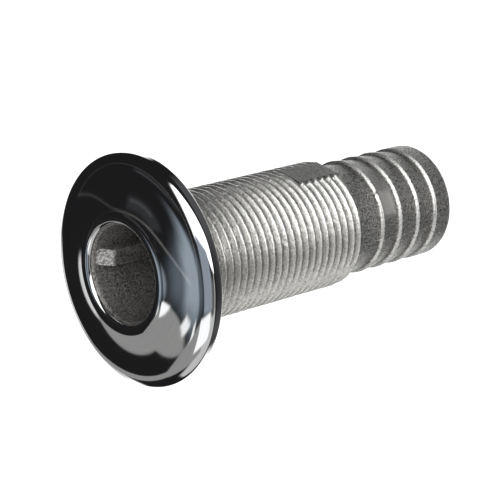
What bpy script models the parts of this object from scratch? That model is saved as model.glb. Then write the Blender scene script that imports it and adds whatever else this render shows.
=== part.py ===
"""Thru hull fitting: a cast stainless mushroom head with a G1 threaded barrel and a hose tail,
its sealing gasket, a flat washer and a slim hexagon lock nut.

Metres, +Z up. The fitting lies along X: the polished head faces -X (outboard), the hose tail
points to +X (inboard), and X = 0 is the seat at the back of the head, which bears on the hull.
"""

import math

import bmesh
import bpy
from mathutils import Matrix, Vector

MM = 0.001
TURN = 2 * math.pi
SEGMENTS = 36  # columns round the axis; a multiple of six, so that the nut's corners are exact
RING_SEGMENTS = 48  # for the gasket and the washer

# Head
HEAD_R = 29.0 * MM
CROWN_R = 13.9 * MM  # the ring of the head that stands furthest outboard
SHOULDER_R = 15.5 * MM  # where the convex shoulder turns into the concave flare
FLARE_R = 24.5 * MM  # where the flare turns into the convex roll of the rim
SHOULDER_SLOPE = math.radians(22)
FLARE_END_SLOPE = math.radians(7)
ROLL_END_SLOPE = math.radians(33)
RIM_FRONT_ROUND = 1.1 * MM
RIM_BAND = 1.4 * MM
RIM_BACK_ROUND = 0.8 * MM

# Waterway
BORE_R = 12.0 * MM
LIP_OUTER_R = 13.1 * MM  # where the flat crown turns into the lip
LIP_EDGE_R = 12.4 * MM  # inner edge of the polished lip
LIP_DEPTH = 0.9 * MM  # from the crown in to that edge
MOUTH_CHAMFER = 0.7 * MM
TAIL_CHAMFER = 0.6 * MM

# Key lugs in the waterway
LUG_TILT = math.radians(83)  # from +Z towards +Y; the second lug stands opposite
LUG_WIDTH = 4.2 * MM
LUG_INNER_R = 8.9 * MM
LUG_START = -5.0 * MM
LUG_RAMP = 3.3 * MM
LUG_END = 11.1 * MM
LUG_ROOT = 0.9 * MM  # how far a lug is sunk into the wall

# Thread, G1
THREAD_R = 33.249 / 2 * MM
PITCH = 2.309 * MM
THREAD_DEPTH = 1.479 * MM
ROOT_R = THREAD_R - THREAD_DEPTH
CREST_SHARE = 0.2  # of the pitch
ROOT_SHARE = 0.14
THREAD_START = 0.9 * MM
THREAD_END = 59.6 * MM
UNDERCUT_R = ROOT_R - 0.1 * MM
THREAD_CHAMFER = 1.3 * MM
THREAD_GAP = 0.2 * MM  # radial, between the nut's thread and the barrel's

# Cast pad that closes the thread's last turns, with a flat on it just below the crests
FLAT_TILT = math.radians(12)  # from +Z towards -Y
FLAT_START = 44.0 * MM
FLAT_RUN_OUT = 2.0 * MM
FLAT_DEPTH = 0.6 * MM
FLAT_OVERRUN = 1.0 * MM
PAD_FLOOR_R = 14.2 * MM
PAD_END_GAP = 0.3 * MM  # from the pad to the thread's end

# Hose tail
NECK_R = 14.2 * MM
NECK_FILLET = 0.8 * MM
BARB_R = 15.0 * MM
BARB_FOOT_R = 14.2 * MM
BARB_COUNT = 4
BARB_FIRST = 68.6 * MM
BARB_PITCH = 6.63 * MM
BARB_LAND = 0.3 * MM
BARB_FACE = 0.9 * MM  # axial length of a barb's hollow face, which looks towards the head
TAIL_END = 93.9 * MM
TAIL_END_R = 15.0 * MM
TAIL_EDGE = 0.4 * MM

# Gasket, half sunk in a groove in the back of the head
GASKET_INNER_R = 17.7 * MM
GASKET_OUTER_R = 22.9 * MM
GASKET_THICK = 1.2 * MM
GASKET_PROUD = 0.4 * MM
GROOVE_GAP = 0.3 * MM
GASKET_ROUND = 0.25 * MM

# Washer
STACK_GAP = 0.2 * MM
WASHER_INNER_R = 17.0 * MM
WASHER_OUTER_R = 23.0 * MM
WASHER_THICK = 1.0 * MM
WASHER_EDGE = 0.15 * MM

# Lock nut
NUT_ACROSS_FLATS = 38.0 * MM
NUT_THICK = 5.5 * MM
NUT_FACE_R = 18.3 * MM  # radius of the round that the corner chamfers leave on each face
NUT_CHAMFER = math.radians(30)
NUT_MOUTH_R = 16.95 * MM  # radius of the countersink at each end of the nut's thread

WASHER_START = GASKET_PROUD + STACK_GAP
NUT_START = WASHER_START + WASHER_THICK + STACK_GAP


def clear_scene():
    """Remove every object of the open scene."""
    for thing in list(bpy.data.objects):
        bpy.data.objects.remove(thing, do_unlink=True)


def metal(name, color, roughness):
    """A metallic material."""
    return material(name, color, roughness, 1.0)


def material(name, color, roughness, metallic=0.0):
    """A Principled material in one colour."""
    made = bpy.data.materials.new(name)
    made.use_nodes = True
    shader = made.node_tree.nodes["Principled BSDF"]
    shader.inputs["Base Color"].default_value = (*color, 1.0)
    shader.inputs["Roughness"].default_value = roughness
    shader.inputs["Metallic"].default_value = metallic
    made.diffuse_color = (*color, 1.0)
    return made


def arc(centre_x, centre_r, radius, start, end, steps):
    """Profile points (x, r) on an arc, both ends included, with angles measured from +x to +r."""
    angles = [start + (end - start) * i / steps for i in range(steps + 1)]
    return [(centre_x + radius * math.cos(a), centre_r + radius * math.sin(a)) for a in angles]


def solid_of_columns(name, columns, stretch=(0, 0), shift=0):
    """A closed body of revolution-like columns round the X axis.

    Each column is a closed loop of (x, r) points at one angle. The points from the first to the
    last of stretch are helical: there, the last column meets the first one shift points further
    along, where the helix has come round by one turn.
    """
    mesh = bmesh.new()
    rows = []
    for number, column in enumerate(columns):
        angle = TURN * number / len(columns)
        turned = Matrix.Rotation(angle, 3, "X")
        rows.append([mesh.verts.new(turned @ Vector((x, 0, r))) for x, r in column])
    count = len(columns[0])
    for number, row in enumerate(rows):
        last = number == len(rows) - 1
        following = rows[0] if last else rows[number + 1]
        if last:
            low, high = stretch
            order = [min(i + shift, high) if low <= i <= high else i for i in range(count)]
        else:
            order = list(range(count))
        for i in range(count):
            after = (i + 1) % count
            corners = [row[i], row[after], following[order[after]], following[order[i]]]
            corners = list(dict.fromkeys(corners))
            if len(corners) > 2:
                mesh.faces.new(corners)
    loose = [vert for vert in mesh.verts if not vert.link_faces]
    bmesh.ops.delete(mesh, geom=loose, context="VERTS")
    bmesh.ops.remove_doubles(mesh, verts=mesh.verts, dist=1e-7)
    bmesh.ops.dissolve_degenerate(mesh, edges=mesh.edges, dist=1e-8)
    bmesh.ops.recalc_face_normals(mesh, faces=mesh.faces)
    return object_from(name, mesh)


def object_from(name, mesh):
    """Link a bmesh to the scene as an object."""
    data = bpy.data.meshes.new(name)
    mesh.to_mesh(data)
    mesh.free()
    made = bpy.data.objects.new(name, data)
    bpy.context.scene.collection.objects.link(made)
    return made


def prism(name, outline, width, tilt):
    """A cutter or lug: an outline of (x, r) points, width wide, turned by tilt from +Z to -Y."""
    mesh = bmesh.new()
    turned = Matrix.Rotation(tilt, 3, "X")
    sides = [
        [mesh.verts.new(turned @ Vector((x, side * width / 2, r))) for x, r in outline]
        for side in (-1, 1)
    ]
    mesh.faces.new(sides[0])
    mesh.faces.new(sides[1])
    for i in range(len(outline)):
        after = (i + 1) % len(outline)
        mesh.faces.new([sides[0][i], sides[0][after], sides[1][after], sides[1][i]])
    bmesh.ops.recalc_face_normals(mesh, faces=mesh.faces)
    return object_from(name, mesh)


def boolean(target, tool, operation):
    """Add an EXACT Boolean modifier, and keep the tool out of renders and of the part."""
    modifier = target.modifiers.new(tool.name, "BOOLEAN")
    modifier.operation = operation
    modifier.object = tool
    modifier.solver = "EXACT"
    tool.hide_render = True
    tool.display_type = "WIRE"


def thread_corners(clearance):
    """One pitch of the thread: (share of the pitch, radius) at each corner of its profile."""
    flank = (1 - CREST_SHARE - ROOT_SHARE) / 2
    crest, root = THREAD_R + clearance, ROOT_R + clearance
    return [(0, crest), (CREST_SHARE, crest), (CREST_SHARE + flank, root), (1 - flank, root)]


def thread_radius(x, angle, clearance):
    """Radius of the right-hand thread's surface at a place along the axis and round it."""
    phase = (x / PITCH - angle / TURN) % 1.0
    corners = thread_corners(clearance)
    corners.append((1, corners[0][1]))
    for (start, low), (end, high) in zip(corners, corners[1:]):
        if phase < end:
            return low + (high - low) * (phase - start) / (end - start)
    return corners[-1][1]


def thread_column(start, end, angle, limit, clearance=0.0):
    """One column of the thread's profile: its corners at this angle, held between two planes.

    limit(x, r) trims a radius, for the chamfers. One spare turn at the start and one at the end
    keep every column's count the same.
    """
    first = math.floor(start / PITCH) - 1
    turns = math.ceil(end / PITCH) - first + 1
    points = []
    for turn in range(first, first + turns):
        for corner, _ in thread_corners(clearance):
            x = PITCH * (turn + corner + angle / TURN)
            x = min(max(x, start), end)
            points.append((x, limit(x, thread_radius(x, angle, clearance))))
    return points


def rim_profile():
    """The head's edge: from the flare's outer end, over the rolled rim, to the seat."""
    back_x = -RIM_BACK_ROUND
    band_x = back_x - RIM_BAND
    quarter = math.pi / 2
    corner_r = HEAD_R - RIM_FRONT_ROUND
    corner = arc(band_x, corner_r, RIM_FRONT_ROUND, math.pi - ROLL_END_SLOPE, quarter, 3)
    end_x, end_r = corner[0]
    radius = (end_r - FLARE_R) / (math.sin(ROLL_END_SLOPE) - math.sin(FLARE_END_SLOPE))
    roll_x = end_x + radius * math.cos(ROLL_END_SLOPE)
    roll_r = end_r - radius * math.sin(ROLL_END_SLOPE)
    start, end = math.pi - FLARE_END_SLOPE, math.pi - ROLL_END_SLOPE
    roll = arc(roll_x, roll_r, radius, start, end, 3)[:-1]
    back = arc(back_x, HEAD_R - RIM_BACK_ROUND, RIM_BACK_ROUND, quarter, 0, 3)
    return roll + corner + back


def face_profile():
    """The head's polished face: from the lip's inner edge to the flare's outer end."""
    flare_end_x = rim_profile()[0][0]
    rise = math.sin(SHOULDER_SLOPE) - math.sin(FLARE_END_SLOPE)
    flare_radius = (FLARE_R - SHOULDER_R) / rise
    flare_x = flare_end_x - flare_radius * math.cos(FLARE_END_SLOPE)
    flare_r = FLARE_R + flare_radius * math.sin(FLARE_END_SLOPE)
    flare = arc(flare_x, flare_r, flare_radius, -SHOULDER_SLOPE, -FLARE_END_SLOPE, 6)[:-1]

    shoulder_radius = (SHOULDER_R - CROWN_R) / math.sin(SHOULDER_SLOPE)
    shoulder_x = flare[0][0] + shoulder_radius * math.cos(SHOULDER_SLOPE)
    shoulder = arc(
        shoulder_x, CROWN_R, shoulder_radius, math.pi, math.pi - SHOULDER_SLOPE, 4
    )[:-1]

    crown_x = shoulder[0][0]
    lip_width = LIP_OUTER_R - LIP_EDGE_R
    lip = [
        (
            crown_x + LIP_DEPTH * (1 - math.sin(t)),
            LIP_OUTER_R - lip_width * math.cos(t),
        )
        for t in (math.pi / 2 * i / 4 for i in range(5))
    ]
    return lip + shoulder + flare


def groove_profile():
    """The gasket's groove in the back of the head, from its outer wall to its inner one."""
    floor = -(GASKET_THICK - GASKET_PROUD) - GROOVE_GAP
    outer, inner = GASKET_OUTER_R + GROOVE_GAP, GASKET_INNER_R - GROOVE_GAP
    return [(0, outer), (floor, outer), (floor, inner), (0, inner)]


def tail_profile():
    """The neck, the barbs and the end of the hose tail."""
    points = [(THREAD_END, NECK_R + NECK_FILLET), (THREAD_END + NECK_FILLET, NECK_R)]
    for number in range(BARB_COUNT):
        crest = BARB_FIRST + number * BARB_PITCH
        foot = crest - BARB_FACE
        height = BARB_R - BARB_FOOT_R
        # the hollow face is a quarter of an ellipse, standing up at the crest
        points += [
            (foot + BARB_FACE * math.sin(t), BARB_R - height * math.cos(t))
            for t in (math.pi / 2 * i / 3 for i in range(3))
        ]
        points += [(crest, BARB_R), (crest + BARB_LAND, BARB_R)]
    return points + [
        (TAIL_END - TAIL_EDGE, TAIL_END_R),
        (TAIL_END, TAIL_END_R - TAIL_EDGE),
    ]


def waterway_profile(mouth_x):
    """The bore, from the tail's end back to the lip."""
    return [
        (TAIL_END, BORE_R + TAIL_CHAMFER),
        (TAIL_END - TAIL_CHAMFER, BORE_R),
        (THREAD_END, BORE_R),
        (THREAD_START, BORE_R),
        (mouth_x + MOUTH_CHAMFER, BORE_R),
    ]


def barrel_chamfer(x, radius):
    """The barrel's thread is chamfered at its tail end."""
    return min(radius, THREAD_R - THREAD_CHAMFER + (THREAD_END - x))


def fitting_body():
    """The casting: head, threaded barrel, hose tail and waterway in one piece."""
    face = face_profile()
    before = face + rim_profile() + groove_profile()
    before += [(0, UNDERCUT_R), (THREAD_START, UNDERCUT_R)]
    after = tail_profile() + waterway_profile(face[0][0])
    columns = []
    for number in range(SEGMENTS):
        angle = TURN * number / SEGMENTS
        thread = thread_column(THREAD_START, THREAD_END, angle, barrel_chamfer)
        columns.append(before + thread + after)
    stretch = (len(before), len(before) + len(thread) - 1)
    body = solid_of_columns("fitting_body", columns, stretch, 4)
    for number, tilt in enumerate((-LUG_TILT, math.pi - LUG_TILT)):
        boolean(body, key_lug(f"key_lug_{number + 1}", tilt), "UNION")
    boolean(body, thread_pad(), "UNION")
    boolean(body, flat_cutter(), "DIFFERENCE")
    return body


def key_lug(name, tilt):
    """A lug that the installer's key turns the fitting by, with a sloping front."""
    sunk = BORE_R + LUG_ROOT
    outline = [
        (LUG_START - LUG_ROOT * LUG_RAMP / (BORE_R - LUG_INNER_R), sunk),
        (LUG_START + LUG_RAMP, LUG_INNER_R),
        (LUG_END, LUG_INNER_R),
        (LUG_END, sunk),
    ]
    return prism(name, outline, LUG_WIDTH, tilt)


def thread_pad():
    """The casting that fills the thread's valleys under the flat."""
    start, end = FLAT_START + FLAT_RUN_OUT / 2, THREAD_END - PAD_END_GAP
    half_chord = math.sqrt(THREAD_R**2 - (THREAD_R - FLAT_DEPTH) ** 2)
    outline = [(start, PAD_FLOOR_R), (start, THREAD_R), (end, THREAD_R), (end, PAD_FLOOR_R)]
    return prism("thread_pad", outline, 2 * half_chord, FLAT_TILT)


def flat_cutter():
    """The tool of the cast flat: it runs out towards the head and past the thread's end."""
    floor, top = THREAD_R - FLAT_DEPTH, THREAD_R + FLAT_DEPTH
    past = THREAD_END + FLAT_OVERRUN
    start = FLAT_START - FLAT_RUN_OUT
    outline = [(start, top), (FLAT_START + FLAT_RUN_OUT, floor), (past, floor), (past, top)]
    return prism("flat_cutter", outline, 2 * THREAD_R, FLAT_TILT)


def ring(name, inner_r, outer_r, start, thick, edge):
    """A flat ring with its four edges broken."""
    end = start + thick
    column = [
        (start + edge, inner_r),
        (start, inner_r + edge),
        (start, outer_r - edge),
        (start + edge, outer_r),
        (end - edge, outer_r),
        (end, outer_r - edge),
        (end, inner_r + edge),
        (end - edge, inner_r),
    ]
    return solid_of_columns(name, [column] * RING_SEGMENTS)


def gasket():
    """The rubber ring between the head and the hull."""
    start = GASKET_PROUD - GASKET_THICK
    return ring(
        "sealing_gasket", GASKET_INNER_R, GASKET_OUTER_R, start, GASKET_THICK, GASKET_ROUND
    )


def washer():
    """The washer between the hull and the lock nut."""
    return ring(
        "flat_washer", WASHER_INNER_R, WASHER_OUTER_R, WASHER_START, WASHER_THICK, WASHER_EDGE
    )


def nut_mouth(x, radius):
    """The nut's thread is countersunk at both ends."""
    depth = min(x - NUT_START, NUT_START + NUT_THICK - x)
    return max(radius, NUT_MOUTH_R - depth)


def lock_nut():
    """The slim hexagon nut, threaded to run on the barrel, with a flat facing -Y."""
    end = NUT_START + NUT_THICK
    columns = []
    for number in range(SEGMENTS):
        angle = TURN * number / SEGMENTS
        from_flat = (angle - math.pi / 2 + math.pi / 6) % (math.pi / 3) - math.pi / 6
        hex_r = NUT_ACROSS_FLATS / 2 / math.cos(from_flat)
        drop = (hex_r - NUT_FACE_R) * math.tan(NUT_CHAMFER)
        outside = [
            (end, NUT_FACE_R),
            (end - drop, hex_r),
            (NUT_START + drop, hex_r),
            (NUT_START, NUT_FACE_R),
        ]
        thread = thread_column(NUT_START, end, angle, nut_mouth, THREAD_GAP)
        columns.append(thread + outside)
    return solid_of_columns("lock_nut", columns, (0, len(thread) - 1), 4)


def main():
    clear_scene()
    steel = metal("cast_stainless", (0.62, 0.61, 0.58), 0.3)
    bright = metal("turned_stainless", (0.7, 0.69, 0.67), 0.25)
    rubber = material("black_rubber", (0.03, 0.03, 0.03), 0.6)
    frame = bpy.data.objects.new("thru_hull_fitting", None)
    bpy.context.scene.collection.objects.link(frame)
    pieces = ((fitting_body(), steel), (gasket(), rubber), (washer(), bright), (lock_nut(), bright))
    for piece, look in pieces:
        piece.data.materials.append(look)
        piece.parent = frame


main()
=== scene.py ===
"""Looks of the thru hull fitting: fine meshes, procedural materials, studio and camera.

Metres, +Z up, in the frame of the CAD: the fitting lies along X, the polished head faces -X and
X = 0 is the seat at the back of the head. The shapes are worked out in millimetres, from profile
points (x, radius), and angles round the axis run from +Z towards -Y.
"""

import math

import bpy
import numpy as np
from mathutils import Matrix, Vector, noise


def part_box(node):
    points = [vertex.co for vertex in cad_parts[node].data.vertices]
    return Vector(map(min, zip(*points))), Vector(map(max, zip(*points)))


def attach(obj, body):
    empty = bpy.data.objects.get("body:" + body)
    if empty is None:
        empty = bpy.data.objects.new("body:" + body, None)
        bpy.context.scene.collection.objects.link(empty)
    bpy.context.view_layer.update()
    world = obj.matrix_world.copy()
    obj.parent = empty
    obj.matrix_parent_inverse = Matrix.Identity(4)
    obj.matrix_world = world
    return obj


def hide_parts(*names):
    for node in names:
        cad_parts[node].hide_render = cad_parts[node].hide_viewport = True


MM = 0.001
TURN = 2 * math.pi

# Head
HEAD_R = 29.0
CROWN_R = 13.9
SHOULDER_R = 15.5
FLARE_R = 24.5
SHOULDER_SLOPE = math.radians(22)
FLARE_END_SLOPE = math.radians(7)
ROLL_END_SLOPE = math.radians(33)
RIM_FRONT_ROUND = 1.1
RIM_BAND = 1.4
RIM_BACK_ROUND = 0.8
LIP_OUTER_R = 13.1
LIP_EDGE_R = 12.4
LIP_DEPTH = 0.9
LIP_WIDE_ANGLE = -math.radians(50)  # the lip is a little off centre, and widest here
LIP_EXTRA_WIDTH = 0.45

# Back of the head, with the gasket's groove
BACK_R = 28.0
GROOVE_OUTER_R = 23.2
GROOVE_INNER_R = 17.4
GROOVE_DEPTH = 1.1

# Waterway and its key lugs
BORE_R = 12.0
FINE_BORE_END = 14.0  # the rows are closer together from the mouth to here
BORE_SAND_START = (-3.4, -2.4)  # the cast roughness fades in and out over these stretches
BORE_SAND_END = (91.0, 92.5)
MOUTH_CHAMFER = 0.7
TAIL_CHAMFER = 0.6
LUG_ANGLE = -math.radians(83)
LUG_HALF_WIDTH = 2.1
LUG_INNER_R = 8.9
LUG_START = -5.0
LUG_RAMP = 3.3
LUG_END = 11.1
LUG_EDGE = 0.6  # width of the paler edges, a painted highlight

# Thread
THREAD_R = 33.249 / 2
PITCH = 2.309
THREAD_DEPTH = 1.479
THREAD_START = 0.9
THREAD_END = 59.6
UNDERCUT_R = THREAD_R - THREAD_DEPTH - 0.1
THREAD_CHAMFER = 1.3
THREAD_GAP = 0.2
# Places on one pitch and their depth, as shares of the pitch and of the thread's depth
BARREL_PROFILE = (
    (-0.03, 0.07),
    (0.00, 0.015),
    (0.05, 0.00),
    (0.10, 0.00),
    (0.15, 0.00),
    (0.20, 0.015),
    (0.23, 0.07),
    (0.31, 0.30),
    (0.41, 0.60),
    (0.51, 0.90),
    (0.56, 1.00),
    (0.62, 1.00),
    (0.67, 0.90),
    (0.77, 0.60),
    (0.88, 0.30),
)
NUT_PROFILE = ((0.0, 0.0), (0.2, 0.0), (0.36, 0.5), (0.53, 1.0), (0.67, 1.0), (0.84, 0.5))

# Cast roughness of the thread: sizes of coarse and fine features, how far they move the crests
# along the axis, in pitches, and how deep they go
THREAD_GRAIN = (1.3, 0.45)
THREAD_SHIFT = (0.035, 0.05)
THREAD_SINK = (0.05, 0.07)

# Pad that closes the last turns, with a flat on it
FLAT_ANGLE = math.radians(12)
FLAT_START = 44.0
FLAT_RUN_OUT = 2.0
FLAT_DEPTH = 0.6
PAD_RANGE = 1.0  # radians from its middle that the pad can reach
PAD_SIDE = 0.035  # radians over which its sides fall to the thread
# painted shade: how dark the pad is painted, standing in for its shadow by the neck
PAD_PAINTED_SHADE = 0.6

# Hose tail
NECK_R = 14.2
NECK_FILLET = 0.8
BARB_R = 15.0
BARB_FOOT_R = 14.2
BARB_COUNT = 4
BARB_FIRST = 68.6
BARB_PITCH = 6.63
BARB_LAND = 0.3
BARB_FACE = 0.9
BARB_EDGE = (0.07, 0.06)  # bevel of a barb's crest, along the axis and radially
TAIL_END = 93.9
TAIL_EDGE = 0.4

# Marks on the tail
TAIL_GRAIN = (2.6, 0.9)
CREST_WEAR = 0.35  # reach of the worn band from a crest
SEAMS = (math.radians(103), math.radians(283))
SEAM_HALF_WIDTH = math.radians(0.75)
SEAM_HEIGHT = 0.11
SEAM_START = (60.6, 61.2)
SEAM_END = (90.0, 92.0)
# Ground patches between the first two barbs: angle, half angle in radians, soft edge as shares of
# that, the stretch of X where the patch ends, and how ragged its end is
GATE = (math.radians(65), 0.24, (0.75, 1.2), (73.4, 74.2), 0.3)
DRESSED = (math.radians(38), 0.36, (0.7, 1.1), (73.8, 74.4), 0.0)
NICK_ANGLE = math.radians(52)
NICK_SIZE = (0.4, 0.035)  # along the axis, and round it in radians

# Hardware behind the head: lowest and highest (x, r) of the rings' sections
GASKET_SECTION = ((-0.8, 17.7), (0.4, 22.9))
WASHER_SECTION = ((0.6, 17.0), (1.6, 23.0))
NUT_FACE_R = 18.3
NUT_MOUTH_R = 16.95
NUT_CHAMFER = math.radians(30)

COLUMNS = 360
RING_COLUMNS = 192

# Materials of the fitting, by their slots
POLISHED, MACHINED, CAST, BORE = range(4)

CAMERA_RIGHT = Vector((0.7331, -0.6801, 0.0)).normalized()
CAMERA_FORWARD = Vector((0.652, 0.7028, -0.2844)).normalized()
CAMERA_UP = CAMERA_RIGHT.cross(CAMERA_FORWARD).normalized()
CAMERA_AZIMUTH = math.atan2(-CAMERA_FORWARD.y, -CAMERA_FORWARD.x)
CAMERA_AIM_X = -1.7  # on the axis; the camera's offsets from here are in radii of the head
CAMERA_OFFSET = (0.9318, 0.1688)  # right and up
CAMERA_DISTANCE = 17.528
LENS, SENSOR = 151.66, 36.0

FLOOR_HALF_SIZE = 40.0
FLOOR_HEIGHT = -0.5


# ---------------------------------------------------------------- shapes


def arc(centre, radius, start, end, steps):
    """Profile points (x, r) on an arc, both ends included, with angles from +x to +r."""
    angles = np.linspace(start, end, steps + 1)
    return [(centre[0] + radius * math.cos(a), centre[1] + radius * math.sin(a)) for a in angles]


def straight(start, end, steps):
    """Points on the line from start to end, without the end."""
    along, out = end[0] - start[0], end[1] - start[1]
    return [(start[0] + along * i / steps, start[1] + out * i / steps) for i in range(steps)]


def rim_points():
    """The head's edge: the rolled rim from the end of the flare, and its band and back."""
    band_x = -RIM_BACK_ROUND - RIM_BAND
    corner_r = HEAD_R - RIM_FRONT_ROUND
    corner_end = math.pi - ROLL_END_SLOPE
    corner = arc((band_x, corner_r), RIM_FRONT_ROUND, corner_end, math.pi / 2, 14)
    end_x, end_r = corner[0]
    radius = (end_r - FLARE_R) / (math.sin(ROLL_END_SLOPE) - math.sin(FLARE_END_SLOPE))
    centre = (
        end_x + radius * math.cos(ROLL_END_SLOPE),
        end_r - radius * math.sin(ROLL_END_SLOPE),
    )
    roll = arc(centre, radius, math.pi - FLARE_END_SLOPE, corner_end, 24)[:-1]
    band = straight(corner[-1], (-RIM_BACK_ROUND, HEAD_R), 4)[1:]
    back = arc((-RIM_BACK_ROUND, HEAD_R - RIM_BACK_ROUND), RIM_BACK_ROUND, math.pi / 2, 0, 6)
    return roll + corner, band + back


def face_points(flare_end):
    """The lip, and the polished face from the crown to the end of the flare."""
    rise = math.sin(SHOULDER_SLOPE) - math.sin(FLARE_END_SLOPE)
    radius = (FLARE_R - SHOULDER_R) / rise
    centre = (
        flare_end[0] - radius * math.cos(FLARE_END_SLOPE),
        FLARE_R + radius * math.sin(FLARE_END_SLOPE),
    )
    flare = arc(centre, radius, -SHOULDER_SLOPE, -FLARE_END_SLOPE, 40)[:-1]
    radius = (SHOULDER_R - CROWN_R) / math.sin(SHOULDER_SLOPE)
    centre = (flare[0][0] + radius * math.cos(SHOULDER_SLOPE), CROWN_R)
    shoulder = arc(centre, radius, math.pi, math.pi - SHOULDER_SLOPE, 16)[:-1]
    crown_x = shoulder[0][0]
    width = LIP_OUTER_R - LIP_EDGE_R
    lip = [
        (crown_x + LIP_DEPTH * (1 - math.sin(t)), LIP_OUTER_R - width * math.cos(t))
        for t in np.linspace(0, math.pi / 2, 15)
    ]
    return lip, shoulder + flare


def tail_points():
    """The neck, the barbs and the tail's end."""
    fillet = arc(
        (THREAD_END + NECK_FILLET, NECK_R + NECK_FILLET), NECK_FILLET, math.pi, 1.5 * math.pi, 6
    )
    points = list(fillet)
    height = BARB_R - BARB_FOOT_R
    face_turn = 2 * math.atan(height / BARB_FACE)
    face_radius = BARB_FACE / math.sin(face_turn)
    for number in range(BARB_COUNT):
        crest = BARB_FIRST + number * BARB_PITCH
        foot = crest - BARB_FACE
        points += straight(points[-1], (foot, BARB_FOOT_R), 12)[1:]
        points += [
            (foot + face_radius * math.sin(t), BARB_FOOT_R + face_radius * (1 - math.cos(t)))
            for t in np.linspace(0, face_turn, 11)[:-1]
        ]
        bevel = [(crest, BARB_R - BARB_EDGE[1]), (crest + BARB_EDGE[0], BARB_R)]
        points += bevel + [(crest + BARB_LAND, BARB_R)]
    points += straight(points[-1], (TAIL_END - TAIL_EDGE, BARB_R), 10)[1:]
    return points + arc((TAIL_END - TAIL_EDGE, BARB_R - TAIL_EDGE), TAIL_EDGE, math.pi / 2, 0, 4)


def bore_points(mouth_x):
    """The waterway, from the tail's end back to the lip."""
    end = (TAIL_END, BORE_R + TAIL_CHAMFER)
    points = straight((TAIL_END, BARB_R - TAIL_EDGE), end, 5)[1:]
    points += straight(end, (TAIL_END - TAIL_CHAMFER, BORE_R), 3)
    mouth = mouth_x + MOUTH_CHAMFER
    points += straight((TAIL_END - TAIL_CHAMFER, BORE_R), (FINE_BORE_END, BORE_R), 60)
    points += straight((FINE_BORE_END, BORE_R), (mouth, BORE_R), 48)
    return points + straight((mouth, BORE_R), (mouth_x, LIP_EDGE_R), 3)


def profile_rows(profile, start, end):
    """(share, depth) rows of every turn between two planes, with a spare turn at each end."""
    turns = range(math.floor(start / PITCH) - 1, math.ceil(end / PITCH) + 1)
    return [(turn + share, depth) for turn in turns for share, depth in profile]


def depth_at(profile, phase):
    """Depth of a thread's profile, as a share, at a place on its pitch."""
    shares = [share for share, _ in profile] + [profile[0][0] + 1]
    depths = [depth for _, depth in profile] + [profile[0][1]]
    return np.interp((phase - shares[0]) % 1.0 + shares[0], shares, depths)


def grain(points, scale, seed=0.0):
    """Noise from -1 to 1 at an array of points, with features about scale across, in mm."""
    shift = Vector((seed, -seed, 2 * seed))
    flat = points.reshape(-1, 3) / scale
    values = [noise.noise(Vector(p) + shift) for p in flat.tolist()]
    return np.array(values).reshape(points.shape[:-1])


def place(x, r, angle):
    """Positions of (x, r, angle) arrays, with the angle from +Z towards -Y."""
    return np.stack([x, -r * np.sin(angle), r * np.cos(angle)], -1)


def smoothstep(low, high, value):
    share = np.clip((value - low) / (high - low), 0, 1)
    return share * share * (3 - 2 * share)


def lattice(before, profile, after, start, end, count):
    """Places of a turned piece's vertices: columns round the axis, rows along its profile.

    before and after are (x, r) points, and the thread lies between them. Gives x, r, the angle,
    each vertex's own or shared row, and the helical rows as (first, last, rows in a turn). At
    the thread's two ends the rows of a column share one vertex. r is 0 on the thread.
    """
    turns = profile_rows(profile, start, end)
    rows = len(before) + len(turns) + len(after)
    first, last = len(before), len(before) + len(turns) - 1
    fixed = np.r_[0:first, last + 1 : rows]
    angle = np.tile((np.arange(count) * TURN / count)[:, None], (1, rows))
    x, r = np.zeros((count, rows)), np.zeros((count, rows))
    x[:, fixed] = [point[0] for point in before + after]
    r[:, fixed] = [point[1] for point in before + after]
    free = PITCH * (np.array([share for share, _ in turns])[None, :] + angle[:, :1] / TURN)
    x[:, first : last + 1] = np.clip(free, start, end)
    own = np.arange(first, last + 1)[None, :]
    shared = np.tile(np.arange(rows), (count, 1))
    shared[:, first : last + 1] = np.where(free <= start, first, np.where(free >= end, last, own))
    return x, r, angle, shared, (first, last, len(profile))


def turned_mesh(name, points, shared, helix, zones, materials, layers):
    """A closed mesh from a lattice. zones gives each row's material, layers float attributes."""
    count, rows = points.shape[:2]
    first, last, period = helix
    own = np.arange(rows)
    on_helix = (own >= first) & (own <= last)
    after_last = np.where(on_helix, np.minimum(own + period, last), own)
    here = np.arange(count)[:, None] * rows + shared
    there = np.roll(here, -1, 0)
    there[-1] = there[-1][after_last]
    quads = np.stack([here, np.roll(here, -1, 1), np.roll(there, -1, 1), there], -1)
    quads = quads.reshape(-1, 4)
    used, packed = np.unique(quads, return_inverse=True)
    faces, face_zones = [], []
    for number, quad in enumerate(packed.reshape(-1, 4).tolist()):
        corners = list(dict.fromkeys(quad))
        if len(corners) > 2:
            faces.append(corners)
            face_zones.append(zones[number % rows])
    data = bpy.data.meshes.new(name)
    data.from_pydata((points.reshape(-1, 3)[used] * MM).tolist(), [], faces)
    for material in materials:
        data.materials.append(material)
    data.polygons.foreach_set("material_index", face_zones)
    data.polygons.foreach_set("use_smooth", [True] * len(faces))
    for layer, values in layers.items():
        attribute = data.attributes.new(layer, "FLOAT", "POINT")
        attribute.data.foreach_set("value", values.reshape(-1)[used].astype(np.float32))
    data.update()
    made = bpy.data.objects.new(name, data)
    bpy.context.scene.collection.objects.link(made)
    return made


def from_angle(angle, centre):
    """Signed difference of angles, from -pi to pi."""
    return (angle - centre + math.pi) % TURN - math.pi


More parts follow.
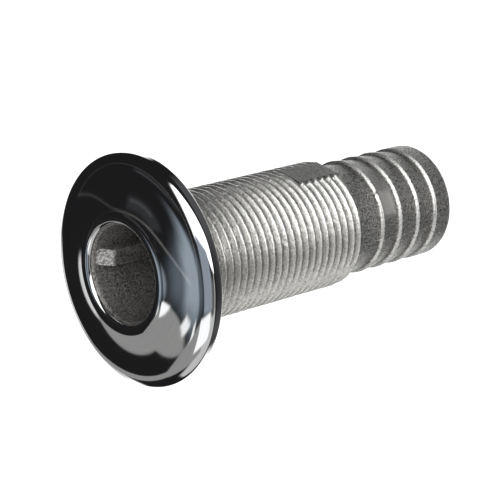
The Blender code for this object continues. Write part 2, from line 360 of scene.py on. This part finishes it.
def thread_surface(x, angle):
    """Radius, wear and painted shade of the barrel's thread, with its cast pad and flat."""
    points = place(x, THREAD_R, angle)
    rough, fine = grain(points, THREAD_GRAIN[0], 3.0), grain(points, THREAD_GRAIN[1], 8.0)
    phase = x / PITCH - angle / TURN + THREAD_SHIFT[0] * rough + THREAD_SHIFT[1] * fine
    depth = depth_at(BARREL_PROFILE, phase)
    sink = THREAD_SINK[0] * (1 + rough) + THREAD_SINK[1] * (1 + fine)
    r = THREAD_R - THREAD_DEPTH * depth - sink
    r = np.minimum(r, THREAD_R - THREAD_CHAMFER + (THREAD_END - x))
    wear = 1 - 0.2 * smoothstep(0.6, 1.0, depth + 0.12 * fine)
    # painted shade: broken dark dashes in the deepest roots, where the grooves lie in shadow
    painted_shade = smoothstep(0.72, 0.95, depth + 0.15 * fine) * smoothstep(-0.7, 0.1, rough)

    turned = from_angle(angle, FLAT_ANGLE)
    ends = [FLAT_START - FLAT_RUN_OUT, FLAT_START + FLAT_RUN_OUT]
    height = np.interp(x, ends, [THREAD_R + FLAT_DEPTH, THREAD_R - FLAT_DEPTH])
    near = np.abs(turned) < PAD_RANGE
    plane = height / np.cos(np.clip(turned, -PAD_RANGE, PAD_RANGE)) + 0.03 * rough
    half_angle = math.acos((THREAD_R - FLAT_DEPTH) / THREAD_R)
    filled = 1 - smoothstep(half_angle - PAD_SIDE, half_angle, np.abs(turned) + 0.02 * rough)
    filled *= smoothstep(ends[1] - 1.2, ends[1] - 0.6, x)
    filled *= 1 - smoothstep(THREAD_END - 0.5, THREAD_END - 0.2, x)
    cut = np.where(near, np.minimum(r, plane), r)
    r = np.where(near, cut + (np.maximum(plane, cut) - cut) * filled, r)
    below_crest = near & (cut < THREAD_R - 0.3) & (filled > 0)
    wear = wear * (1 - filled) * (1 - 0.8 * below_crest)
    # the pad is darkened all over with painted shade
    return r, wear, painted_shade * (1 - filled) + PAD_PAINTED_SHADE * filled


def ground_patch(x, angle, rough, centre, half_angle, edge, end, ragged):
    """Share of a ground patch behind the first barb, round an angle."""
    away = np.abs(from_angle(angle, centre) / half_angle) + 0.2 * rough
    started = smoothstep(BARB_FIRST + 0.2, BARB_FIRST + 0.8, x + 0.2 * rough)
    ended = smoothstep(*end, x + ragged * rough)
    return (1 - smoothstep(*edge, away)) * started * (1 - ended)


def tail_surface(x, r, angle):
    """Radius of the cast neck and barbs, their wear, and the share of the ground gate mark."""
    points = place(x, BARB_R, angle)
    coarse, rough = grain(points, TAIL_GRAIN[0], 5.0), grain(points, TAIL_GRAIN[1], 1.0)
    r = r + 0.03 * coarse + 0.03 * rough
    crests = [BARB_FIRST + number * BARB_PITCH for number in range(BARB_COUNT)]
    wear = np.zeros_like(x)
    for crest in crests + [TAIL_END - 0.2]:
        wear += np.exp(-(((x - crest + 0.1) / CREST_WEAR) ** 2))
    for seam in SEAMS:
        ridge = np.exp(-((from_angle(angle, seam) / SEAM_HALF_WIDTH) ** 2))
        ridge *= smoothstep(*SEAM_START, x) * (1 - smoothstep(*SEAM_END, x))
        r = r + SEAM_HEIGHT * ridge * (1 + 0.5 * rough)
        wear += 0.7 * ridge
    dressed = ground_patch(x, angle, rough, *DRESSED)
    gate = np.maximum(ground_patch(x, angle, rough, *GATE), 0.4 * dressed)
    along = (x - BARB_FIRST) / NICK_SIZE[0]
    round_it = from_angle(angle, NICK_ANGLE) / NICK_SIZE[1]
    nick = np.exp(-(along**2 + round_it**2))
    return r - 0.06 * gate - 0.5 * nick, np.clip(wear, 0, 1), gate


def bore_surface(x, angle, r):
    """Radius and angle in the rough waterway with its two key lugs, and the share of painted
    highlight on the lugs' ramps and edges.
    """
    points = place(x, BORE_R, angle)
    coarse, rough = grain(points, 2.2, 11.0), grain(points, 0.8, 13.0)
    inside = smoothstep(*BORE_SAND_START, x) * (1 - smoothstep(*BORE_SAND_END, x))
    r = r + (0.05 * coarse + 0.035 * rough) * inside
    pale = np.zeros_like(x)
    full = BORE_R - LUG_INNER_R
    for lug in (LUG_ANGLE, LUG_ANGLE + math.pi):
        turned = from_angle(angle, lug)
        across = BORE_R * np.sin(turned)
        height = np.minimum((x - LUG_START) * full / LUG_RAMP, full)
        height = np.where(x < LUG_END, height, 0) + 0.04 * rough
        on_lug = (np.abs(across) < LUG_HALF_WIDTH) & (np.cos(turned) > 0) & (height > 0.05)
        on_lug &= x < LUG_END
        top = BORE_R - height
        r = np.where(on_lug, np.minimum(np.sqrt(top**2 + across**2), r), r)
        angle = np.where(on_lug, lug + np.arctan2(across, top), angle)
        # painted highlight: pale over each lug's ramp, and fainter along its edges
        pale = np.maximum(pale, on_lug & (height < full - 0.1))
        edge = smoothstep(LUG_HALF_WIDTH - LUG_EDGE, LUG_HALF_WIDTH, np.abs(across)) * on_lug
        pale = np.maximum(pale, 0.35 * edge)
    return r, angle, pale


def fitting(materials):
    """The casting as one closed mesh: lip, head, barrel, tail and waterway."""
    rim_front, rim_back = rim_points()
    lip, face = face_points(rim_front[0])
    polished = lip + face + rim_front + rim_back
    back = straight((0.0, BACK_R), (0.0, GROOVE_OUTER_R), 8)
    back += [(0.0, GROOVE_OUTER_R), (-GROOVE_DEPTH, GROOVE_OUTER_R)]
    back += [(-GROOVE_DEPTH, GROOVE_INNER_R), (0.0, GROOVE_INNER_R)]
    back += [(0.0, UNDERCUT_R), (THREAD_START, UNDERCUT_R)]
    tail, bore = tail_points(), bore_points(lip[0][0])
    x, r, angle, shared, helix = lattice(
        polished + back, BARREL_PROFILE, tail + bore, THREAD_START, THREAD_END, COLUMNS
    )
    rows = x.shape[1]
    on_thread = slice(helix[0], helix[1] + 1)
    on_tail = slice(helix[1] + 1, helix[1] + 1 + len(tail))
    on_bore = slice(helix[1] + 1 + len(tail), rows)
    wear, gate, pale, painted_shade = (np.zeros_like(x) for _ in range(4))
    r[:, on_thread], wear[:, on_thread], painted_shade[:, on_thread] = thread_surface(
        x[:, on_thread], angle[:, on_thread]
    )
    r[:, on_tail], wear[:, on_tail], gate[:, on_tail] = tail_surface(
        x[:, on_tail], r[:, on_tail], angle[:, on_tail]
    )
    r[:, on_bore], angle[:, on_bore], pale[:, on_bore] = bore_surface(
        x[:, on_bore], angle[:, on_bore], r[:, on_bore]
    )
    zones = np.full(rows, POLISHED)
    zones[len(polished) : helix[0]] = MACHINED
    zones[on_thread] = CAST
    zones[on_tail] = CAST
    zones[on_bore] = BORE
    on_lip = slice(0, len(lip))
    wide = 1 + LIP_EXTRA_WIDTH * (1 + np.cos(angle[:, on_lip] - LIP_WIDE_ANGLE))
    r[:, on_lip] = LIP_EDGE_R + (r[:, on_lip] - LIP_EDGE_R) * wide
    points = place(x, r, angle)
    layers = {"wear": wear, "gate": gate, "pale": pale, "painted_shade": painted_shade}
    piece = turned_mesh("cast_fitting", points, shared, helix, zones.tolist(), materials, layers)
    piece.data.set_sharp_from_angle(angle=math.radians(40))
    return piece


def ring(name, profile, material):
    """A turned ring from a closed profile."""
    count = len(profile)
    angle = np.tile((np.arange(RING_COLUMNS) * TURN / RING_COLUMNS)[:, None], (1, count))
    x = np.tile([point[0] for point in profile], (RING_COLUMNS, 1))
    r = np.tile([point[1] for point in profile], (RING_COLUMNS, 1))
    shared = np.tile(np.arange(count), (RING_COLUMNS, 1))
    no_helix = (0, -1, 0)
    piece = turned_mesh(name, place(x, r, angle), shared, no_helix, [0] * count, [material], {})
    piece.data.set_sharp_from_angle(angle=math.radians(50))
    return piece


def rounded_section(low, high, radius, steps=4):
    """A rectangle's outline from low (x, r) to high (x, r), with rounded corners."""
    quarter = math.pi / 2
    corners = (
        ((low[0] + radius, low[1] + radius), 2),
        ((low[0] + radius, high[1] - radius), 1),
        ((high[0] - radius, high[1] - radius), 0),
        ((high[0] - radius, low[1] + radius), -1),
    )
    points = []
    for centre, quarters in corners:
        points += arc(centre, radius, quarter * (quarters + 1), quarter * quarters, steps)
    return points


def lock_nut(material):
    """The slim hexagon nut, with chamfered corners and a countersunk thread."""
    low, high = (Vector(corner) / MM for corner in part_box("lock_nut"))
    start, end = low.x, high.x
    half_flats = min(high.y, high.z)
    steps = 5
    outside = straight((end, NUT_MOUTH_R), (end, NUT_FACE_R), 3)[1:]
    outside += [(end, NUT_FACE_R)] * (steps + 1) + [(start, NUT_FACE_R)] * (steps + 1)
    outside += straight((start, NUT_FACE_R), (start, NUT_MOUTH_R), 3)[1:]
    x, r, angle, shared, helix = lattice([], NUT_PROFILE, outside, start, end, COLUMNS)
    first, last, _ = helix
    inside = slice(first, last + 1)
    depth = depth_at(NUT_PROFILE, x[:, inside] / PITCH - angle[:, inside] / TURN)
    radius = THREAD_R + THREAD_GAP - THREAD_DEPTH * depth
    sink = np.minimum(x[:, inside] - start, end - x[:, inside])
    r[:, inside] = np.maximum(radius, NUT_MOUTH_R - sink)
    half_side = math.pi / 6
    from_flat = (angle[:, 0] - math.pi / 2 + half_side) % (2 * half_side) - half_side
    corner = half_flats / np.cos(from_flat) - NUT_FACE_R
    top = last + 4  # first row of the chamfer on the end face, past the face's own rows
    bottom = top + 2 * steps - 1
    for step in range(steps):
        share = (step + 1) / steps
        drop = corner * math.tan(NUT_CHAMFER) * share
        x[:, top + step], x[:, bottom - step] = end - drop, start + drop
        r[:, top + step] = r[:, bottom - step] = NUT_FACE_R + corner * share
    zones = [0] * x.shape[1]
    piece = turned_mesh("hex_lock_nut", place(x, r, angle), shared, helix, zones, [material], {})
    piece.data.set_sharp_from_angle(angle=math.radians(25))
    return piece


# ---------------------------------------------------------------- materials


def node(tree, kind, inputs=None, **settings):
    """Add a node, set it, and link or set its inputs by name or number."""
    made = tree.nodes.new(kind)
    for key, value in settings.items():
        setattr(made, key, value)
    for key, value in (inputs or {}).items():
        socket = made.inputs[key]
        if isinstance(value, bpy.types.NodeSocket):
            tree.links.new(value, socket)
        else:
            socket.default_value = value
    return made


def maths(tree, operation, *values):
    return node(tree, "ShaderNodeMath", dict(enumerate(values)), operation=operation).outputs[0]


def vector_maths(tree, operation, *values):
    made = node(tree, "ShaderNodeVectorMath", dict(enumerate(values)), operation=operation)
    return made.outputs["Value" if operation == "DOT_PRODUCT" else "Vector"]


def remap(tree, value, low, high, to_low=0.0, to_high=1.0, smooth=False):
    inputs = {"Value": value, "From Min": low, "From Max": high}
    inputs.update({"To Min": to_low, "To Max": to_high})
    kind = "SMOOTHSTEP" if smooth else "LINEAR"
    return node(tree, "ShaderNodeMapRange", inputs, interpolation_type=kind).outputs[0]


def blend(tree, kind, share, first, second):
    made = node(tree, "ShaderNodeMix", data_type="RGBA" if kind == "Color" else "FLOAT")
    sockets = {socket.identifier: socket for socket in made.inputs}
    for name, value in (("Factor_Float", share), (f"A_{kind}", first), (f"B_{kind}", second)):
        if isinstance(value, bpy.types.NodeSocket):
            tree.links.new(value, sockets[name])
        elif isinstance(value, tuple):
            sockets[name].default_value = (*value, 1.0)
        else:
            sockets[name].default_value = value
    return next(socket for socket in made.outputs if socket.identifier == f"Result_{kind}")


def mix(tree, share, first, second):
    """Blend two colours."""
    return blend(tree, "Color", share, first, second)


def mix_value(tree, share, first, second):
    """Blend two numbers."""
    return blend(tree, "Float", share, first, second)


def blotches(tree, coordinates, scale, detail=3.0, roughness=0.6):
    inputs = {"Vector": coordinates, "Scale": scale, "Detail": detail, "Roughness": roughness}
    return node(tree, "ShaderNodeTexNoise", inputs).outputs[0]


def layer(tree, name):
    return node(tree, "ShaderNodeAttribute", attribute_name=name).outputs["Fac"]


def turned_coordinates(tree, across, along, round_it):
    """Noise coordinates for marks round the axis, with no seam.

    across, along and round_it say how fast the noise runs with the radius, with X and round the
    axis.
    """
    object_place = node(tree, "ShaderNodeTexCoord").outputs["Object"]
    x, y, z = node(tree, "ShaderNodeSeparateXYZ", {0: object_place}).outputs
    squares = [maths(tree, "POWER", part, 2.0) for part in (y, z)]
    radius = maths(tree, "SQRT", maths(tree, "ADD", *squares))
    side, height = (
        maths(tree, "MULTIPLY", maths(tree, "DIVIDE", part, radius), round_it) for part in (y, z)
    )
    lead = maths(tree, "MULTIPLY_ADD", radius, across, maths(tree, "MULTIPLY", x, along))
    return node(tree, "ShaderNodeCombineXYZ", {0: lead, 1: side, 2: height}).outputs[0]


def new_material(name, color, metallic=1.0):
    """A material and its tree, Principled shader and object coordinates."""
    made = bpy.data.materials.new(name)
    made.use_nodes = True
    made.diffuse_color = (*color, 1.0)
    tree = made.node_tree
    shader = tree.nodes["Principled BSDF"]
    shader.inputs["Metallic"].default_value = metallic
    return made, tree, shader, node(tree, "ShaderNodeTexCoord").outputs["Object"]


def drive(tree, shader, name, value):
    """Link a value to one of the shader's inputs."""
    tree.links.new(value, shader.inputs[name])


def bump(tree, shader, height, distance, strength=1.0):
    inputs = {"Height": height, "Distance": distance, "Strength": strength}
    drive(tree, shader, "Normal", node(tree, "ShaderNodeBump", inputs).outputs[0])


def mirror_steel():
    """The polished head, with fine circular marks from the buffing wheel."""
    made, tree, shader, spot = new_material("mirror_steel", (0.62, 0.63, 0.64))
    fine = blotches(tree, turned_coordinates(tree, 9000.0, 9000.0, 3.0), 1.0, 4.0, 0.7)
    marks = blotches(tree, turned_coordinates(tree, 2600.0, 2600.0, 1.6), 1.0, 5.0, 0.75)
    cloud = blotches(tree, spot, 70.0, 3.0)
    haze = maths(tree, "MULTIPLY", remap(tree, marks, 0.45, 0.75), remap(tree, cloud, 0.35, 0.65))
    streak = mix(tree, remap(tree, marks, 0.35, 0.65), (0.61, 0.62, 0.635), (0.68, 0.68, 0.68))
    drive(tree, shader, "Base Color", streak)
    drive(tree, shader, "Roughness", maths(tree, "MULTIPLY_ADD", haze, 0.10, 0.045))
    bump(tree, shader, maths(tree, "MULTIPLY_ADD", fine, 0.35, marks), 0.000006, 0.3)
    return made


def turned_steel(name="turned_steel"):
    """A machined face, with tool marks round the axis."""
    made, tree, shader, spot = new_material(name, (0.6, 0.6, 0.59))
    lines = blotches(tree, turned_coordinates(tree, 5200.0, 5200.0, 1.2), 1.0, 3.0, 0.6)
    cloud = blotches(tree, spot, 160.0, 4.0)
    drive(tree, shader, "Base Color", mix(tree, cloud, (0.50, 0.50, 0.49), (0.66, 0.655, 0.64)))
    drive(tree, shader, "Roughness", remap(tree, lines, 0.3, 0.7, 0.2, 0.36))
    bump(tree, shader, lines, 0.00002, 0.5)
    return made


def cast_steel():
    """The blasted casting: dark sandy skin, worn bright on the crests and the edges."""
    made, tree, shader, spot = new_material("cast_steel", (0.45, 0.44, 0.42))
    wear, gate, painted_shade = (layer(tree, name) for name in ("wear", "gate", "painted_shade"))
    pits = blotches(tree, spot, 4500.0, 2.0, 0.6)
    sand = blotches(tree, spot, 2100.0, 3.0, 0.65)
    cloud = blotches(tree, spot, 130.0, 4.0, 0.6)
    brushed = blotches(tree, turned_coordinates(tree, 0.0, 500.0, 90.0), 1.0, 3.0, 0.7)
    grit = remap(tree, sand, 0.36, 0.64)
    worn = maths(tree, "MULTIPLY_ADD", maths(tree, "SUBTRACT", grit, 0.5), 0.7, 1.0)
    worn = remap(tree, maths(tree, "MULTIPLY", wear, worn), 0.2, 0.85)
    skin = mix(tree, grit, (0.05, 0.049, 0.047), (0.56, 0.555, 0.54))
    skin = mix(tree, maths(tree, "MULTIPLY", cloud, 0.25), skin, (0.38, 0.375, 0.37))
    bright = mix(tree, grit, (0.70, 0.69, 0.67), (0.95, 0.94, 0.915))
    color = mix(tree, worn, skin, bright)
    # painted shade: near black in the thread's roots and dark over the pad
    color = mix(tree, painted_shade, color, (0.05, 0.048, 0.045))
    patch = mix(tree, brushed, (0.6, 0.59, 0.57), (0.95, 0.94, 0.92))
    drive(tree, shader, "Base Color", mix(tree, gate, color, patch))
    rough = remap(tree, grit, 0, 1, 0.46, mix_value(tree, worn, 0.32, 0.3))
    drive(tree, shader, "Roughness", mix_value(tree, gate, rough, 0.6))
    height = maths(tree, "MULTIPLY_ADD", pits, 0.5, sand)
    relief = mix_value(tree, gate, mix_value(tree, worn, 0.9, 0.22), 0.05)
    bump(tree, shader, height, 0.00045, relief)
    return made


def bore_steel():
    """The rough cast waterway, with a painted highlight on the ramps and the edges of the lugs.
    """
    made, tree, shader, spot = new_material("bore_steel", (0.3, 0.3, 0.29), 0.6)
    pale = layer(tree, "pale")
    sand = blotches(tree, spot, 1900.0, 3.0, 0.65)
    cloud = blotches(tree, spot, 210.0, 4.0, 0.6)
    grit = remap(tree, sand, 0.36, 0.64)
    dark = mix(tree, grit, (0.035, 0.034, 0.032), (0.34, 0.33, 0.32))
    dark = mix(tree, remap(tree, cloud, 0.45, 0.7, 0.0, 0.5), dark, (0.30, 0.29, 0.28))
    light = mix(tree, grit, (0.08, 0.08, 0.077), (0.56, 0.55, 0.54))
    # painted highlight on the lugs' ramps and edges
    drive(tree, shader, "Base Color", mix(tree, pale, dark, light))
    drive(tree, shader, "Roughness", remap(tree, grit, 0, 1, 0.5, 0.33))
    bump(tree, shader, sand, 0.0004, 0.8)
    return made


def black_rubber():
    """The gasket's moulded rubber, with a dusty bloom."""
    made, tree, shader, spot = new_material("gasket_rubber", (0.02, 0.02, 0.02), 0.0)
    sand = blotches(tree, spot, 1500.0, 3.0)
    cloud = blotches(tree, spot, 120.0, 4.0)
    bloom = mix(tree, cloud, (0.014, 0.014, 0.015), (0.045, 0.045, 0.046))
    drive(tree, shader, "Base Color", bloom)
    drive(tree, shader, "Roughness", remap(tree, cloud, 0.3, 0.7, 0.5, 0.72))
    bump(tree, shader, sand, 0.00005, 0.4)
    return made


# ---------------------------------------------------------------- studio


def direction(azimuth, elevation):
    """Unit vector from degrees: azimuth from the camera's side, counterclockwise from above."""
    turn = CAMERA_AZIMUTH + math.radians(azimuth)
    rise = math.radians(elevation)
    level = math.cos(rise)
    return Vector((level * math.cos(turn), level * math.sin(turn), math.sin(rise)))


def card_place(tree, ray, azimuth, elevation, roll=0.0):
    """Where a ray meets the plane of a card one unit away, from its centre, and if it does."""
    centre = direction(azimuth, elevation)
    level = Vector((0, 0, 1)).cross(centre).normalized()
    rise = centre.cross(level)
    turn = Matrix.Rotation(math.radians(roll), 3, centre)
    level, rise = turn @ level, turn @ rise
    ahead = vector_maths(tree, "DOT_PRODUCT", ray, centre)
    safe = maths(tree, "MAXIMUM", ahead, 0.02)
    across = maths(tree, "DIVIDE", vector_maths(tree, "DOT_PRODUCT", ray, level), safe)
    along = maths(tree, "DIVIDE", vector_maths(tree, "DOT_PRODUCT", ray, rise), safe)
    return across, along, remap(tree, ahead, 0.0, 0.05)


def card(tree, ray, azimuth, elevation, half_width, half_height, edge, roll=0.0):
    """Mask of a rectangular card, with sizes and the soft edge in degrees."""
    across, along, ahead = card_place(tree, ray, azimuth, elevation, roll)
    mask = ahead
    for offset, half in ((across, half_width), (along, half_height)):
        inner = math.tan(math.radians(max(half - edge, 0.01)))
        outer = math.tan(math.radians(half + edge))
        size = maths(tree, "ABSOLUTE", offset)
        mask = maths(tree, "MULTIPLY", mask, remap(tree, size, inner, outer, 1.0, 0.0, True))
    return mask


# Light of the room where there is no card
ROOM_LIGHT = (0.017, 0.017, 0.018)
# Light, azimuth, elevation, half width, half height, soft edge and roll of each card, all angles
# in degrees. A later card hides an earlier one.
STUDIO = (
    ((0.045, 0.046, 0.05), -82, 7, 11, 3.5, 2, -8),  # dim shapes in the room on the left
    ((0.08, 0.08, 0.085), -85, 6, 7, 0.9, 0.5, -8),
    ((1.7, 1.7, 1.7), 168, -6, 38, 33, 6, 0),  # pale surroundings behind the fitting
    ((1.7, 1.7, 1.68), 172, -42, 38, 20, 4, 0),
    ((0.11, 0.11, 0.115), 114, 10, 28, 55, 10, 0),  # dim wall on the right
    ((0.16, 0.16, 0.16), 4, -20, 42, 15, 3, 0),  # table in front
    ((0.75, 0.75, 0.735), 4, -60, 40, 28, 2, 0),
    ((0.85, 0.85, 0.84), -158, -27, 19, 13, 2, -8),  # table on the left
    ((0.38, 0.38, 0.37), -98, -41, 46, 4.5, 0.7, 0),  # strip of table
    ((0.38, 0.38, 0.37), -71.5, -37, 15.5, 11, 0.7, 0),  # table's corner
    ((3.0, 3.0, 2.97), -3, 29, 54, 24, 3, 0),  # large soft box above the camera
    ((0.14, 0.17, 0.20), -67, -14, 8, 8, 6, 0),  # hazy blue wall
    ((0.42, 0.49, 0.56), -79, -15, 7, 7, 4, 0),
    ((0.37, 0.42, 0.49), -42, -9, 12, 16, 2, 0),
    ((1.5, 1.5, 1.5), -48.5, -34, 12.5, 8, 1, 0),  # bright strip over the table's corner
    ((1.3, 1.3, 1.3), -79, -24.5, 2.5, 2.0, 0.8, 0),
    ((0.6, 0.6, 0.6), 28, -12, 8, 22, 3, 0),  # pale board on the right of the camera
)
ARCH_LIGHT = (0.26, 0.255, 0.24)
ARCH_PLACE = (-88, -2)
ARCH_HALF_SIZE = (23.5, 16.0)
ARCH_THICKNESS = 0.042  # as a share of its half size
ARCH_FOOT = (-0.27, -0.24)  # height over which the line starts
ARCH_FADE = (-0.3, 0.4, 0.2, 1.0)  # from and to across, and its brightness there


def arch(tree, ray):
    """Mask of the thin arched rail that the head mirrors, an ellipse's upper part."""
    across, along, ahead = card_place(tree, ray, *ARCH_PLACE)
    width, height = (math.tan(math.radians(half)) for half in ARCH_HALF_SIZE)
    squares = [
        maths(tree, "POWER", maths(tree, "DIVIDE", offset, half), 2.0)
        for offset, half in ((across, width), (along, height))
    ]
    distance = maths(tree, "SUBTRACT", maths(tree, "SQRT", maths(tree, "ADD", *squares)), 1.0)
    line = remap(tree, maths(tree, "ABSOLUTE", distance), 0.0, ARCH_THICKNESS, 1.0, 0.0, True)
    above = remap(tree, along, *ARCH_FOOT)
    brighter = remap(tree, across, *ARCH_FADE)
    line = maths(tree, "MULTIPLY", line, maths(tree, "MULTIPLY", above, brighter))
    return maths(tree, "MULTIPLY", line, ahead)


def studio():
    """A dark room with a soft box and pale boards, as the polished head mirrors it."""
    world = bpy.data.worlds.new("studio")
    bpy.context.scene.world = world
    world.use_nodes = True
    tree = world.node_tree
    tree.nodes.clear()
    ray = node(tree, "ShaderNodeTexCoord").outputs["Generated"]
    light = ROOM_LIGHT
    for color, *shape in STUDIO:
        light = mix(tree, card(tree, ray, *shape), light, color)
    rail = mix(tree, arch(tree, ray), (0, 0, 0), ARCH_LIGHT)
    light = vector_maths(tree, "ADD", light, rail)
    lit = node(tree, "ShaderNodeBackground", {"Color": light}).outputs[0]
    plain = node(tree, "ShaderNodeBackground", {"Color": (1, 1, 1, 1)}).outputs[0]
    seen = node(tree, "ShaderNodeLightPath").outputs["Is Camera Ray"]
    both = node(tree, "ShaderNodeMixShader", {0: seen, 1: lit, 2: plain}).outputs[0]
    node(tree, "ShaderNodeOutputWorld", {"Surface": both})


def floor():
    """The pale floor, well below the fitting, which is held up in the air."""
    made, tree, shader, spot = new_material("pale_floor", (0.95, 0.95, 0.95), 0.0)
    cloud = blotches(tree, spot, 0.6, 2.0)
    drive(tree, shader, "Base Color", mix(tree, cloud, (0.93, 0.93, 0.93), (0.96, 0.96, 0.96)))
    shader.inputs["Roughness"].default_value = 0.9
    shader.inputs["Emission Color"].default_value = (1, 1, 1, 1)
    shader.inputs["Emission Strength"].default_value = 0.8
    data = bpy.data.meshes.new("floor")
    signs = ((-1, -1), (1, -1), (1, 1), (-1, 1))
    corners = [(FLOOR_HALF_SIZE * a, FLOOR_HALF_SIZE * b, FLOOR_HEIGHT) for a, b in signs]
    data.from_pydata(corners, [], [(0, 1, 2, 3)])
    data.materials.append(made)
    plane = bpy.data.objects.new("floor", data)
    bpy.context.scene.collection.objects.link(plane)
    plane.visible_glossy = False


def camera():
    """The photograph's viewpoint: a long lens, looking down on the head from the left."""
    data = bpy.data.cameras.new("camera")
    data.lens, data.sensor_width = LENS, SENSOR
    data.clip_start, data.clip_end = 0.01, 200.0
    made = bpy.data.objects.new("camera", data)
    bpy.context.scene.collection.objects.link(made)
    right, up = CAMERA_OFFSET
    offset = right * CAMERA_RIGHT + up * CAMERA_UP - CAMERA_DISTANCE * CAMERA_FORWARD
    stand = Vector((CAMERA_AIM_X, 0, 0)) * MM + offset * HEAD_R * MM
    turn = Matrix((CAMERA_RIGHT, CAMERA_UP, -CAMERA_FORWARD)).transposed()
    made.matrix_world = Matrix.Translation(stand) @ turn.to_4x4()
    bpy.context.scene.camera = made


# ---------------------------------------------------------------- the scene

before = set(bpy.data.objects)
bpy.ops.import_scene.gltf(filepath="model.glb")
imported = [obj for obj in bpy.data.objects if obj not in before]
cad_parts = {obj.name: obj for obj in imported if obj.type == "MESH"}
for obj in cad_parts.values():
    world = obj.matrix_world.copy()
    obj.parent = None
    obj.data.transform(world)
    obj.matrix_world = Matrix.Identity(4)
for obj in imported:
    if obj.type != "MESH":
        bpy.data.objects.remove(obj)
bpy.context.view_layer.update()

camera()
studio()
floor()
bpy.context.scene.view_settings.view_transform = "Standard"

body = fitting([mirror_steel(), turned_steel("machined_back"), cast_steel(), bore_steel()])
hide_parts("fitting_body")
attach(body, "fitting")

seal = ring("rubber_gasket", rounded_section(*GASKET_SECTION, 0.25), black_rubber())
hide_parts("sealing_gasket")
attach(seal, "fitting")

bright_steel = turned_steel()
plate = ring("turned_washer", rounded_section(*WASHER_SECTION, 0.15), bright_steel)
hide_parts("flat_washer")
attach(plate, "washer")

nut = lock_nut(bright_steel)
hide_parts("lock_nut")
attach(nut, "nut")
